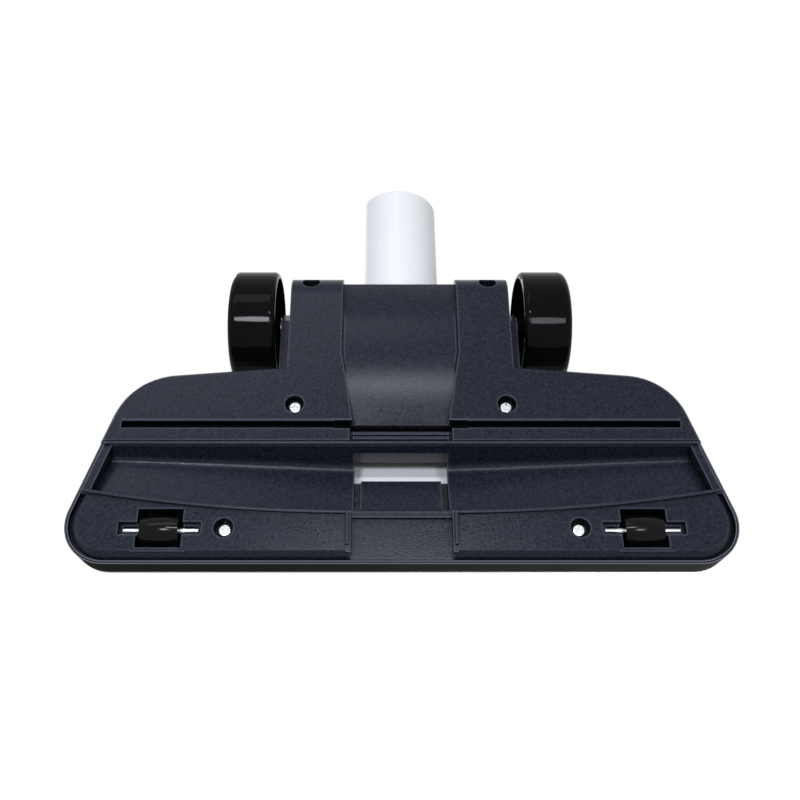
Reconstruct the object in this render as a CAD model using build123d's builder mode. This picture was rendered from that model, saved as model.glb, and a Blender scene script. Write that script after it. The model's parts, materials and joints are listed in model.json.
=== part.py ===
from build123d import *
import os
from math import cos, radians, sin, tan

os.makedirs("parts", exist_ok=True)

# Frame: the head stands on its wheels and rollers, sole down, front towards -Y, neck towards +Y.
# Distances written with aft() are measured behind the front edge of the flat sole.

# Driving dimensions of the wing, in millimetres and degrees
head_width = 270.0
front_overhang = 4.2
side_rake = 17.5
front_corner_radius = 17.0
rear_corner_radius = 26.0
wing_corner_aft = 77.1
wing_root_aft = 82.5
ground_clearance = 2.5
wing_split = 16.5
wing_crown = 8.0
crown_flat = 0.5
sheet = 2.0
wall = 2.2
sole_bevel = 3.0
rear_bevel = 1.0

# Bumper strip round the front and the sides
bumper_thickness = 2.0
bumper_low = 4.3
bumper_gap = 0.7
bumper_lip = 2.4
bumper_end_aft = 47.0
bumper_groove = 0.45
bumper_groove_depth = 0.5

# Tail with its two cheeks, and the neck's pivot between them
tail_half = 49.0
tail_front_aft = 79.7
tail_end_aft = 133.6
tail_sole_radius = 14.0
tail_corner_radius = 5.0
tail_lip = 4.1
pivot_aft = 103.0
pivot_height = 31.5
drum_radius = 24.0
drum_side_gap = 0.7
cheek_wall = 2.5

# Duct between the mouth and the drum
mouth_half = 19.6
mouth_front_aft = 33.5
mouth_rear_aft = 43.8
duct_half_front = 20.5
duct_half_rear = 25.6
duct_front_aft = 31.5
hump_front_aft = 57.0
hump_flare = 33.0
hump_step = 3.0
seam_width = 0.9
seam_rise = 1.4
duct_rim = 27.0
gasket_thickness = 1.0
ceiling_thickness = 2.0
ceiling_lap = 1.4

# Suction channel across the sole, with its ribs
channel_rear_aft = 45.4
channel_rake = 20.0
channel_stations = (94.0, 58.0)
rib_end_inset = 4.5
rib_end_aft = 26.7
rib_mid_aft = 19.7
rib_corner_half = 21.0
rib_corner_aft = 17.2
rib_height = 1.4
rib_width = 1.4
rib_round = 0.45
rib_corner_radius = 2.0
rib_overrun = 6.0
rib_setback = 0.2
rib_groove_width = 0.9
rib_groove_depth = 0.6
channel_end_rise = 7.0
channel_mid_rise = 13.0
channel_front_rise = 4.5
channel_foot_radius = 3.5
channel_end_wall = 3.4

# Ramp, front recess and the sunk step before the hump
groove_width = 2.8
recess_rise = 3.2
recess_half = 20.3
centre_rib_aft = 14.6
centre_rib_rise = 1.5
step_rise = 5.0
step_half = 21.5
ridge_width = 1.3
ridge_setbacks = (0.4, 2.4)

# Rollers in the sole, with their pins
roller_inset = 38.6
roller_aft = 9.8
roller_radius = 6.5
roller_end_radius = 5.7
roller_length = 15.4
roller_pocket_width = 18.2
roller_pocket_length = 16.0
roller_headroom = 1.0
pocket_wall = 1.6
pin_radius = 1.5
pin_length = 30.0
pin_slot_length = 33.0
pin_slot_width = 5.2

# Rear wheels on steel axles
wheel_radius = 26.5
wheel_aft = 115.5
wheel_gap = 6.8
wheel_width = 21.3
wheel_rim = 2.8
wheel_web = 3.6
wheel_root = 4.0
wheel_shoulder = 3.6
wheel_inner_round = 2.2
wheel_draft = 0.5
hub_radius = 5.0
axle_radius = 2.5
axle_overlap = 0.6
axle_inset = 7.0
boss_stand = 5.7
boss_front_aft = 84.0
boss_reach = 7.4
clip_thickness = 0.8
clip_groove = 0.8
clip_gap = 0.4

# Neck tube, a socket for a 32 mm wand
neck_end_aft = 186.5
socket_radius = 16.0
socket_depth = 40.0
socket_step = 1.0
neck_wall = 2.6
neck_taper = 0.7
neck_lip_radius = 1.2
drum_shell = 2.4
drum_opening_share = 0.73
trunnion_radius = 6.0
trunnion_reach = 5.4

# Felt strips against the drum
seal_aft = 108.0
seal_width = 5.0
seal_start = 136.0
seal_end = 146.0
seal_clearance = 0.2

# Cover: ridge over the middle, hood in front of the drum
spine_rear_radius = 18.0
ridge_round = 5.0
ridge_turns = (0.0, 30.0, 60.0, 85.0)
spine_ends = [(0.35, 1.0), (1.0, 0.0)]
spine_steps = 14
hood_gap = 2.2
hood_angle = 133.0

# Brush bar behind the channel, its pedal and return springs
slot_front_aft = 53.5
slot_width = 3.0
slot_inset = 17.8
slot_lip_height = 0.5
slot_lip_width = 1.1
guide_wall = 1.2
guide_top = 12.0
bar_thickness = 2.4
bar_low = 8.5
bar_high = 14.5
bar_side_gap = 0.3
bar_top_gap = 0.6
bar_end_gap = 0.6
bristle_tip = 4.2
bristle_thickness = 1.4
bristle_root = 1.5
bristle_inset = 0.5
post_inner_half = 27.0
post_outer_half = 35.0
pedal_half = 35.6
pedal_front_aft = 47.4
pedal_rear_aft = 72.6
pedal_corner_radius = 3.0
pedal_gap = 0.6
pedal_pivot_aft = 70.0
pedal_pivot_drop = 6.3
pedal_thickness = 3.4
pedal_proud = 1.2
pedal_pad_radius = 2.0
pad_drop = 0.5
pad_gap = 0.1
lug_height = 17.0
lug_thickness = 2.4
lug_margin = 0.4
spring_radius = 2.6
spring_wire = 0.35
spring_half = 32.0
spring_aft = 61.0
spring_turns = 5

# Fasteners
screw_recess_radius = 4.0
screw_head_radius = 2.8
screw_head_height = 2.2
screw_head_round = 0.8
screw_radius = 1.5
screw_length = 16.0
screw_recess_depth = 5.6
tail_screw_drop = 9.5
cross_length = 3.4
cross_width = 0.9
cross_depth = 1.2
front_screw = (71.0, 10.0)
rear_screw = (45.1, 64.6)
tail_screw = (40.2, 127.6)
boss_radius = 5.5
tail_boss_radius = 5.2
cover_boss_radius = 3.5

# Radial clearance of the turning fits
running_fit = 0.05

# Places worked out from the driving dimensions
middle_aft = (neck_end_aft - front_overhang) / 2
sole = ground_clearance
front_y = -front_overhang - middle_aft
slot_aft = slot_front_aft + slot_width / 2
slot_half = head_width / 2 - slot_inset
rib_end_half = head_width / 2 - rib_end_inset
roller_half = head_width / 2 - roller_inset
duct_floor = sole + channel_mid_rise + sheet
ceiling = duct_rim + gasket_thickness
ceiling_half = duct_half_rear + ceiling_lap
hood_radius = drum_radius + hood_gap
crown_height = pivot_height + drum_radius + 3.0
far_up = 3 * pivot_height
ridge_foot = wing_split - 2 * ridge_round
roller_height = roller_radius
pocket_top = roller_height + roller_radius + roller_headroom
wheel_height = wheel_radius
wheel_inner_half = tail_half + wheel_gap
wheel_outer_half = wheel_inner_half + wheel_width
web_half = wheel_outer_half - wheel_web
wheel_inner_radius = wheel_radius - wheel_rim
hub_depth = web_half + axle_overlap
hub_inner_half = wheel_inner_half - 0.4
boss_half = tail_half + boss_stand
axle_inner_half = tail_half - axle_inset
clip_half = tail_half - wall - clip_gap - clip_thickness
drum_half = duct_half_rear - drum_side_gap
drum_opening_aft = pivot_aft - drum_opening_share * drum_radius
trunnion_half = duct_half_rear + trunnion_reach
neck_bore_radius = socket_radius - socket_step
neck_end_radius = socket_radius + neck_wall
neck_root_radius = neck_end_radius + neck_taper
screw_seat = sole + screw_recess_depth
tail_screw_seat = pivot_height - tail_screw_drop
bar_half = slot_half - bar_end_gap
post_middle = (post_inner_half + post_outer_half) / 2
lug_length = spring_aft + spring_radius + lug_margin - slot_aft
spring_base = sole + sheet + spring_wire
spring_height = lug_height - spring_wire - spring_base
pocket_half = pedal_half + pedal_gap
barrel_half = pedal_half - pedal_corner_radius - pedal_gap
pocket_front_aft = pedal_front_aft - pedal_gap
pocket_rear_aft = pedal_rear_aft + pedal_gap
hump_end_aft = tail_end_aft - tail_lip
hump_curve = [
    (hump_front_aft, 7.0),
    (hump_front_aft + 9.0, 4.3),
    (hump_front_aft + 20.0, 1.9),
    (pivot_aft - 13.0, 0.5),
    (pivot_aft - 6.0, 0.3),
    (hump_end_aft - 20.5, 1.0),
    (hump_end_aft - 10.5, 3.2),
    (hump_end_aft, 7.4),
]
spine_curve = [
    (9.0, wing_split + 1.5),
    (24.0, 29.5),
    (pedal_front_aft + 0.6, 40.5),
    (pivot_aft - 27.0, 49.8),
    (pivot_aft - 9.0, crown_height - 1.9),
    (pivot_aft + 3.0, crown_height),
]
pedal_pivot_height = spine_curve[3][1] - pedal_pivot_drop
pedal_pad_height = spine_curve[2][1] - pad_drop
post_top = pedal_pad_height - pedal_pad_radius - pad_gap
spine_line = Spline(*[(d - middle_aft, h) for d, h in spine_curve], tangents=spine_ends)
sides = {"left": 1, "right": -1}


def aft(distance):
    """Y of a place that lies the given distance behind the sole's front edge."""
    return distance - middle_aft


def at(distance, height):
    """Point in a side profile."""
    return (aft(distance), height)


def wing_plan(level, inset=0.0):
    """Plan outline of the wing at a height, drawn in by an inset."""
    rake = radians(side_rake)
    corner_x = head_width / 2 + front_corner_radius * (1 / cos(rake) + tan(rake) - 1)
    rear_x = corner_x - tan(rake) * (wing_corner_aft + front_overhang)
    half = [(tail_half, aft(wing_root_aft)), (rear_x, aft(wing_corner_aft)), (corner_x, front_y)]
    with BuildSketch(Plane.XY.offset(level)) as outline:
        with BuildLine():
            Polyline(*half, *[(-x, y) for x, y in reversed(half)], close=True)
        make_face()
        fillet(outline.vertices().group_by(Axis.Y)[0], front_corner_radius)
        outer = outline.vertices().filter_by(lambda v: abs(v.X) > tail_half + 1)
        fillet(outer.filter_by(lambda v: abs(v.Y - aft(wing_corner_aft)) < 0.01), rear_corner_radius)
        if inset:
            offset(amount=-inset)
    return outline.sketch


def side_profile(*points, rounded=None, radius=0.0):
    """Side profile in the YZ plane, with one corner rounded."""
    with BuildSketch(Plane.YZ) as profile:
        with BuildLine():
            Polyline(*points, close=True)
        make_face()
        if rounded is not None:
            fillet(profile.vertices().sort_by_distance(rounded)[0], radius)
    return profile.sketch


def duct_plan(level, grow=0.0):
    """Plan of the duct, from the mouth to the rear of the tail."""
    half = [
        (duct_half_front + grow, aft(duct_front_aft) - grow),
        (duct_half_front + grow, aft(hump_front_aft)),
        (duct_half_rear + grow, aft(hump_front_aft + hump_flare)),
        (duct_half_rear + grow, aft(tail_end_aft + tail_corner_radius)),
    ]
    with BuildSketch(Plane.XY.offset(level)) as outline:
        with BuildLine():
            Polyline(*half, *[(-x, y) for x, y in reversed(half)], close=True)
        make_face()
    return outline.sketch


def hump_profile(lift, limit):
    """Side profile between the hump's curve, lifted, and a level above or below it."""
    points = [at(distance, sole + depth + lift) for distance, depth in hump_curve]
    with BuildSketch(Plane.YZ) as profile:
        with BuildLine():
            Spline(*points)
            Polyline(points[-1], (points[-1][0], limit), (points[0][0], limit), points[0])
        make_face()
    return profile.sketch


def channel_share(half):
    """Share of the way from the channel's middle to its end, at a distance from the middle."""
    return (half - rib_corner_half) / (rib_end_half - rib_corner_half)


def channel_front(half):
    """Distance aft of the channel's bowed front edge, at a distance from the middle."""
    share = channel_share(half)
    bow = rib_mid_aft - (rib_end_aft + rib_corner_aft) / 2
    return rib_corner_aft + share * (rib_end_aft - rib_corner_aft) + 4 * bow * share * (1 - share)


def front_rib_edge(setback):
    """Points that carry one edge of the front rib along the channel's bow."""
    ends = [rib_corner_half, rib_end_half + rib_overrun]
    middle = sum(ends) / 2
    turn = 2 * channel_front(middle) - sum(channel_front(half) for half in ends) / 2
    places = [(ends[0], channel_front(ends[0])), (middle, turn), (ends[1], channel_front(ends[1]))]
    return [(half, aft(distance - setback)) for half, distance in places]


def channel_section(half, grow=0.0):
    """Cross section of the suction channel at a distance from the middle."""
    share = channel_share(half)
    front = channel_front(half)
    rise = channel_mid_rise + share * (channel_end_rise - channel_mid_rise)
    lean = tan(radians(channel_rake))
    low = sole - 2.0 + 2.0 * (grow > 0)
    high = sole + rise + grow
    points = [
        at(front - grow, low),
        at(front - grow, sole + channel_front_rise + grow),
        at(channel_rear_aft - lean * rise + grow, high),
        at(channel_rear_aft + lean * (sole - low) + grow, low),
    ]
    with BuildSketch(Plane.YZ.offset(half)) as section:
        with BuildLine():
            Polyline(*points, close=True)
        make_face()
        fillet(section.vertices().sort_by_distance(points[2])[0], channel_foot_radius + grow)
    return section.sketch


def spine_points(inset=0.0):
    """Points along the ridge of the cover, drawn in by an inset square to it."""
    points = []
    for step in range(spine_steps + 1):
        place = spine_line @ (step / spine_steps)
        run = spine_line % (step / spine_steps)
        points.append((place.X + inset * run.Y, place.Y - inset * run.X))
    return points


def spine_profile(inset=0.0, drop=0.0, half=0.0):
    """Side profile of the cover's raised middle, drawn in by an inset and let down by a drop."""
    points = spine_points(inset)
    crown = points[-1][1]
    rear = tail_end_aft - inset
    with BuildSketch(Plane.YZ.offset(half)) as profile:
        with BuildLine():
            Spline(*points, tangents=spine_ends)
            Polyline(
                points[-1],
                at(rear, crown),
                at(rear, pivot_height - drop),
                at(tail_front_aft, pivot_height - drop),
                at(tail_front_aft, ridge_foot),
                (points[0][0], ridge_foot),
                points[0],
            )
        make_face()
        crown_end = profile.vertices().sort_by_distance(at(rear, crown))[0]
        fillet(crown_end, spine_rear_radius - inset)
    return profile.sketch


def ridge_edge(inset, drop, half):
    """Rounded edge strip of the raised middle, lofted from its flat top out to its side."""
    sections = []
    for turn in ridge_turns:
        out = half - ridge_round * (1 - sin(radians(turn)))
        sections.append(spine_profile(inset + ridge_round * (1 - cos(radians(turn))), drop, out))
    return sections


def axis_plane(distance, height):
    """Plane for turned pieces: local x runs along the head's X axis, local y is the radius."""
    return Plane(origin=(0, aft(distance), height), x_dir=(1, 0, 0), z_dir=(0, -1, 0))


def turned_axis(distance, height):
    """Axis along X through a place in the side view."""
    return Axis((0, aft(distance), height), (1, 0, 0))


def finish(piece, name):
    """Label a finished piece and write it out."""
    piece.label = name
    export_step(piece, f"parts/{name}.step")


screw_places = {
    "front_left": front_screw,
    "front_right": (-front_screw[0], front_screw[1]),
    "rear_left": rear_screw,
    "rear_right": (-rear_screw[0], rear_screw[1]),
    "tail_left": tail_screw,
    "tail_right": (-tail_screw[0], tail_screw[1]),
}
wing_screws = [Location((x, aft(d), 0)) for x, d in list(screw_places.values())[:4]]
tail_screws = [Location((x, aft(d), 0)) for x, d in list(screw_places.values())[4:]]
all_screws = wing_screws + tail_screws

# Tail block: side profile with a rounded sole, rear corners rounded in plan
with BuildSketch(Plane.XY) as tail_plan:
    with Locations((0, aft((hump_front_aft + tail_end_aft) / 2))):
        RectangleRounded(2 * tail_half, tail_end_aft - hump_front_aft, tail_corner_radius)
with BuildPart() as tail_block:
    extrude(
        side_profile(
            at(hump_front_aft, sole),
            at(tail_end_aft, sole),
            at(tail_end_aft, pivot_height),
            at(tail_front_aft, pivot_height),
            at(tail_front_aft, wing_split),
            at(hump_front_aft, wing_split),
            rounded=at(tail_end_aft, sole),
            radius=tail_sole_radius,
        ),
        amount=tail_half,
        both=True,
    )
    extrude(tail_plan.sketch, amount=pivot_height + 1, mode=Mode.INTERSECT)

# Room inside one cheek, which keeps the sole's rounding
with BuildPart() as cheek_room:
    extrude(
        side_profile(
            at(hump_front_aft, sole + sheet),
            at(tail_end_aft - wall, sole + sheet),
            at(tail_end_aft - wall, pivot_height + 1),
            at(hump_front_aft, pivot_height + 1),
            rounded=at(tail_end_aft - wall, sole + sheet),
            radius=tail_sole_radius - sheet,
        ),
        amount=tail_half - wall,
        both=True,
    )
    with Locations((0, aft(tail_end_aft), 0)):
        Box(
            2 * (duct_half_rear + cheek_wall), 2 * tail_end_aft, 4 * pivot_height, mode=Mode.SUBTRACT
        )

# Bosses of the tail's screws, which end at the tail's rounded sole
with BuildPart() as tail_bosses:
    with BuildSketch(Plane.XY):
        with Locations(*tail_screws):
            Circle(tail_boss_radius)
    extrude(amount=pivot_height)
    add(tail_block.part, mode=Mode.INTERSECT)

# Suction channel: lofted from its ends to the mouth, first as a skin and then as the void in it
stations = [rib_end_half + wing_crown, *channel_stations, rib_corner_half]
with BuildPart() as channel_skin:
    loft([channel_section(half, sheet) for half in stations])
    mirror(about=Plane.YZ)
    extrude(channel_section(rib_corner_half, sheet), amount=-2 * rib_corner_half)
    extrude(wing_plan(0, bumper_thickness), amount=2 * wing_split, mode=Mode.INTERSECT)
with BuildPart() as channel_void:
    loft([channel_section(half) for half in stations])
    mirror(about=Plane.YZ)
    extrude(channel_section(rib_corner_half), amount=-2 * rib_corner_half)
    extrude(
        wing_plan(0, bumper_thickness + channel_end_wall), amount=2 * wing_split, mode=Mode.INTERSECT
    )

# Space under the hump, and the duct above it
with BuildPart() as hump_space:
    extrude(hump_profile(0.0, -1.0), amount=tail_half, both=True)
    extrude(duct_plan(-2.0), amount=wing_split, mode=Mode.INTERSECT)
with BuildPart() as hump_seams:
    extrude(duct_plan(0), amount=sole + seam_rise)
    extrude(duct_plan(0, -seam_width), amount=sole + seam_rise, mode=Mode.SUBTRACT)
    with Locations((0, aft(hump_front_aft), 0)):
        Box(
            2 * tail_half,
            2 * tail_end_aft,
            2 * wing_split,
            align=(Align.CENTER, Align.MAX, Align.CENTER),
            mode=Mode.SUBTRACT,
        )
with BuildPart() as duct_space:
    extrude(hump_profile(sheet, 2 * pivot_height), amount=tail_half, both=True)
    with Locations((0, aft(hump_front_aft), 0)):
        Box(2 * tail_half, 2 * hump_step, 2 * duct_floor, mode=Mode.SUBTRACT)
    extrude(
        side_profile(
            at(duct_front_aft, duct_floor),
            at(hump_front_aft + hump_step, duct_floor),
            at(hump_front_aft + hump_step, 2 * pivot_height),
            at(duct_front_aft, 2 * pivot_height),
        ),
        amount=tail_half,
        both=True,
    )
    extrude(duct_plan(0), amount=2 * pivot_height, mode=Mode.INTERSECT)
    with BuildSketch(Plane.YZ):
        with Locations(at(pivot_aft, pivot_height)):
            Circle(drum_radius + drum_side_gap)
    extrude(amount=duct_half_rear, both=True)

# Duct walls in front of the tail
with BuildPart() as duct_block:
    extrude(duct_plan(sole, cheek_wall), amount=duct_rim - sole)
    extrude(
        side_profile(
            at(0.0, 0.0),
            at(tail_front_aft + wall, 0.0),
            at(tail_front_aft + wall, pivot_height),
            at(0.0, pivot_height),
        ),
        amount=tail_half,
        both=True,
        mode=Mode.INTERSECT,
    )

# Ribs along the channel: a straight one behind it, a bowed one in front with a leg to the front edge
with BuildSketch(Plane.XY.offset(sole - rib_height)) as rib_plan:
    with Locations((0, aft(channel_rear_aft + rib_setback) + rib_width / 2)):
        Rectangle(2 * rib_end_half, rib_width)
    with BuildLine():
        back = Bezier(*front_rib_edge(rib_setback))
        front = Bezier(*front_rib_edge(rib_setback + rib_width))
        Line(back @ 0, front @ 0)
        Line(back @ 1, front @ 1)
    make_face()
    with Locations((rib_corner_half, aft(rib_corner_aft - rib_setback))):
        Rectangle(rib_width, rib_corner_aft - rib_setback - sole_bevel, align=(Align.MIN, Align.MAX))
    corner = rib_plan.vertices().sort_by_distance((rib_corner_half, aft(rib_corner_aft - rib_setback)))[0]
    fillet(corner, rib_corner_radius)
    mirror(about=Plane.YZ)
with BuildPart() as ribs:
    extrude(rib_plan.sketch, amount=rib_height + sheet / 2)
    fillet(ribs.faces().group_by(Axis.Z)[0].edges(), rib_round)
    extrude(wing_plan(0, bumper_thickness + running_fit), amount=wing_split, mode=Mode.INTERSECT)

# Wing behind the bumper's end, which comes out to the full outline
with BuildPart() as wing_rear:
    extrude(wing_plan(sole), amount=wing_split - sole)
    chamfer(wing_rear.faces().sort_by(Axis.Z)[0].edges(), rear_bevel)
    with Locations((0, aft(bumper_end_aft) + running_fit, 0)):
        Box(
            2 * head_width,
            head_width,
            4 * wing_split,
            align=(Align.CENTER, Align.MAX, Align.CENTER),
            mode=Mode.SUBTRACT,
        )

# Lower moulding: sole, cheeks, channel, hump, pockets and bosses
with BuildPart() as base_shell:
    extrude(wing_plan(sole, bumper_thickness), amount=wing_split - sole)
    chamfer(base_shell.faces().sort_by(Axis.Z)[0].edges(), sole_bevel)
    add(wing_rear.part)
    extrude(wing_plan(sole + sheet, bumper_thickness + wall), amount=wing_split, mode=Mode.SUBTRACT)
    add(tail_block.part)
    add(cheek_room.part, mode=Mode.SUBTRACT)
    add(channel_skin.part)
    add(duct_block.part)
    # floor under the bar where the slot crosses the hump's front
    with Locations((0, aft((channel_rear_aft + hump_front_aft) / 2), sole)):
        Box(
            2 * (duct_half_front + cheek_wall),
            hump_front_aft - channel_rear_aft + 2 * wall,
            duct_floor - sole,
            align=(Align.CENTER, Align.CENTER, Align.MIN),
        )
    # block round the ramp, and the floor of the front recess
    with Locations((0, aft(mouth_front_aft), sole)):
        Box(
            2 * (mouth_half + sheet),
            mouth_front_aft - rib_corner_aft + sheet,
            duct_floor - sole,
            align=(Align.CENTER, Align.MAX, Align.MIN),
        )
    with Locations((0, aft(rib_corner_aft), sole)):
        Box(
            2 * (recess_half + sheet),
            rib_corner_aft,
            recess_rise + sheet,
            align=(Align.CENTER, Align.MAX, Align.MIN),
        )
    # roller boxes and screw bosses
    with Locations(*[(s * roller_half, aft(roller_aft), sole) for s in sides.values()]):
        Box(
            roller_pocket_width + 2 * pocket_wall,
            roller_pocket_length + 2 * pocket_wall,
            pocket_top + pocket_wall - sole,
            align=(Align.CENTER, Align.CENTER, Align.MIN),
        )
        Box(
            pin_slot_length + 2 * pocket_wall,
            pin_slot_width + 2 * pocket_wall,
            roller_height + pin_radius + pocket_wall - sole,
            align=(Align.CENTER, Align.CENTER, Align.MIN),
        )
    with BuildSketch(Plane.XY.offset(sole)):
        with Locations(*wing_screws):
            Circle(boss_radius)
    extrude(amount=wing_split - sole)
    add(tail_bosses.part)
    # guide walls of the bar round the slot, and the low lip behind it
    with Locations((0, aft(slot_aft), sole + sheet / 2)):
        Box(
            2 * (slot_half + guide_wall),
            slot_width + 2 * guide_wall,
            guide_top - sole - sheet / 2,
            align=(Align.CENTER, Align.CENTER, Align.MIN),
        )
    with Locations((0, aft(slot_aft) + slot_width / 2, sole - slot_lip_height)):
        Box(
            2 * slot_half,
            slot_lip_width,
            slot_lip_height + sheet / 2,
            align=(Align.CENTER, Align.MIN, Align.MIN),
        )
    # axle bosses on the outside of the cheeks
    for side in sides.values():
        with BuildSketch(Plane.YZ.offset(side * (tail_half - wall / 2))):
            with BuildLine():
                Polyline(
                    at(boss_front_aft, wheel_height - boss_reach),
                    at(wheel_aft, wheel_height - boss_reach),
                    at(wheel_aft + boss_reach, wheel_height),
                    at(wheel_aft + boss_reach, pivot_height),
                    at(boss_front_aft, pivot_height),
                    close=True,
                )
            make_face()
        extrude(amount=side * (boss_half - tail_half + wall / 2))
    # the hollows that work: channel, hump, duct, mouth
    add(channel_void.part, mode=Mode.SUBTRACT)
    add(ribs.part)
    add(hump_space.part, mode=Mode.SUBTRACT)
    add(hump_seams.part, mode=Mode.SUBTRACT)
    add(duct_space.part, mode=Mode.SUBTRACT)
    with Locations((0, aft(mouth_front_aft), 0)):
        Box(
            2 * mouth_half,
            mouth_rear_aft - mouth_front_aft,
            2 * duct_floor,
            align=(Align.CENTER, Align.MIN, Align.CENTER),
            mode=Mode.SUBTRACT,
        )
    # grooves each side of the ramp into the mouth
    groove_middle = mouth_half - groove_width / 2
    with Locations(*[(s * groove_middle, aft(rib_corner_aft + sheet), 0) for s in sides.values()]):
        Box(
            groove_width,
            mouth_front_aft - rib_corner_aft - sheet,
            2 * (duct_floor - sheet),
            align=(Align.CENTER, Align.MIN, Align.CENTER),
            mode=Mode.SUBTRACT,
        )
    # front recess with the low rib behind it
    with Locations((0, aft(centre_rib_aft), 0)):
        Box(
            2 * recess_half,
            centre_rib_aft + 2 * front_overhang,
            2 * (sole + recess_rise),
            align=(Align.CENTER, Align.MAX, Align.CENTER),
            mode=Mode.SUBTRACT,
        )
        Box(
            2 * recess_half,
            rib_corner_aft - centre_rib_aft,
            2 * (sole + centre_rib_rise),
            align=(Align.CENTER, Align.MIN, Align.CENTER),
            mode=Mode.SUBTRACT,
        )
    # sunk step in front of the hump, with two thin ridges on it
    with Locations((0, aft(channel_rear_aft + rib_setback + rib_width), 0)):
        Box(
            2 * step_half,
            hump_front_aft - channel_rear_aft - rib_setback - rib_width,
            2 * (sole + step_rise),
            align=(Align.CENTER, Align.MIN, Align.CENTER),
            mode=Mode.SUBTRACT,
        )
    with Locations(*[(0, aft(slot_front_aft - d), sole + step_rise) for d in ridge_setbacks]):
        Box(
            2 * (step_half - ridge_width),
            ridge_width,
            2 * ridge_width,
            align=(Align.CENTER, Align.MAX, Align.CENTER),
        )
    # slot for the bristles, and the bar's way under the duct
    with Locations((0, aft(slot_aft), 0)):
        Box(2 * slot_half, slot_width, 2 * guide_top, mode=Mode.SUBTRACT)
        Box(
            2 * (duct_half_rear + cheek_wall),
            slot_width + 2 * bar_side_gap,
            2 * (bar_high + bar_top_gap),
            mode=Mode.SUBTRACT,
        )
    # rear mouth of the tail, where the neck comes out
    with Locations((0, aft(hump_end_aft), 0)):
        Box(
            2 * duct_half_rear,
            2 * tail_sole_radius,
            4 * pivot_height,
            align=(Align.CENTER, Align.MIN, Align.CENTER),
            mode=Mode.SUBTRACT,
        )
    # bearings of the neck and the axles
    with BuildSketch(Plane.YZ.offset(-trunnion_half - 1)):
        with Locations(at(pivot_aft, pivot_height)):
            Circle(trunnion_radius + running_fit)
    extrude(amount=2 * (trunnion_half + 1), mode=Mode.SUBTRACT)
    for side in sides.values():
        with BuildSketch(Plane.YZ.offset(side * (boss_half + 1))):
            with Locations(at(wheel_aft, wheel_height)):
                Circle(axle_radius + running_fit)
        extrude(amount=-side * (boss_half - tail_half + wall + 3), mode=Mode.SUBTRACT)
    # screw holes
    with BuildSketch(Plane.XY):
        with Locations(*wing_screws):
            Circle(screw_recess_radius)
    extrude(amount=screw_seat, mode=Mode.SUBTRACT)
    with BuildSketch(Plane.XY):
        with Locations(*tail_screws):
            Circle(screw_recess_radius)
    extrude(amount=tail_screw_seat, mode=Mode.SUBTRACT)
    with BuildSketch(Plane.XY):
        with Locations(*all_screws):
            Circle(screw_radius + running_fit)
    extrude(amount=2 * pivot_height, mode=Mode.SUBTRACT)
    # roller pockets and pin slots
    with Locations(*[(s * roller_half, aft(roller_aft), 0) for s in sides.values()]):
        Box(roller_pocket_width, roller_pocket_length, 2 * pocket_top, mode=Mode.SUBTRACT)
        Box(pin_slot_length, pin_slot_width, 2 * (roller_height - pin_radius), mode=Mode.SUBTRACT)
        Box(pin_length, 2 * pin_radius, 2 * roller_height, mode=Mode.SUBTRACT)
    for side in sides.values():
        with BuildSketch(Plane.YZ.offset(side * roller_half - pin_length / 2)):
            with Locations(at(roller_aft, roller_height)):
                Circle(pin_radius)
        extrude(amount=pin_length, mode=Mode.SUBTRACT)
    # narrow groove behind the channel's rear rib
    with Locations((0, aft(channel_rear_aft + rib_setback) + rib_width, 0)):
        Box(
            2 * rib_end_half,
            rib_groove_width,
            2 * (sole + rib_groove_depth),
            align=(Align.CENTER, Align.MIN, Align.CENTER),
            mode=Mode.SUBTRACT,
        )
finish(base_shell.part, "base_shell")

# Bumper strip: a band on the base's wall, with a free lip at its lower edge
with BuildPart() as bumper_strip:
    extrude(wing_plan(bumper_low), amount=wing_split - bumper_low)
    extrude(wing_plan(bumper_low, bumper_thickness), amount=wing_split, mode=Mode.SUBTRACT)
    extrude(
        wing_plan(bumper_low, bumper_thickness - bumper_gap), amount=bumper_lip, mode=Mode.SUBTRACT
    )
    # groove along the lip's edge
    extrude(
        wing_plan(bumper_low, (bumper_thickness - bumper_gap - bumper_groove) / 2)
        - wing_plan(bumper_low, (bumper_thickness - bumper_gap + bumper_groove) / 2),
        amount=bumper_groove_depth,
        mode=Mode.SUBTRACT,
    )
    with Locations((0, aft(bumper_end_aft), 0)):
        Box(
            2 * head_width,
            head_width,
            4 * wing_split,
            align=(Align.CENTER, Align.MIN, Align.CENTER),
            mode=Mode.SUBTRACT,
        )
finish(bumper_strip.part, "bumper_strip")

# Cover: outer form, inner room and the walls that stand in it
with BuildPart() as cover_form:
    extrude(wing_plan(wing_split), amount=wing_crown)
    fillet(cover_form.faces().sort_by(Axis.Z)[-1].edges(), wing_crown - crown_flat)
    extrude(spine_profile(), amount=tail_half - ridge_round, both=True)
    loft(ridge_edge(0.0, 0.0, tail_half))
    mirror(about=Plane.YZ)
    with Locations((0, 0, wing_split)):
        Box(
            2 * head_width,
            2 * head_width,
            head_width,
            align=(Align.CENTER, Align.CENTER, Align.MAX),
            mode=Mode.SUBTRACT,
        )
    with Locations((0, aft(tail_front_aft), pivot_height)):
        Box(
            2 * tail_half + 2 * running_fit,
            tail_end_aft,
            2 * pivot_height,
            align=(Align.CENTER, Align.MIN, Align.MAX),
            mode=Mode.SUBTRACT,
        )
with BuildPart() as cover_room:
    extrude(wing_plan(wing_split, wall), amount=wing_crown - sheet)
    fillet(cover_room.faces().sort_by(Axis.Z)[-1].edges(), wing_crown - sheet - crown_flat)
    extrude(spine_profile(wall, 1.0), amount=tail_half - wall - ridge_round, both=True)
    loft(ridge_edge(wall, 1.0, tail_half - wall))
    mirror(about=Plane.YZ)
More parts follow.
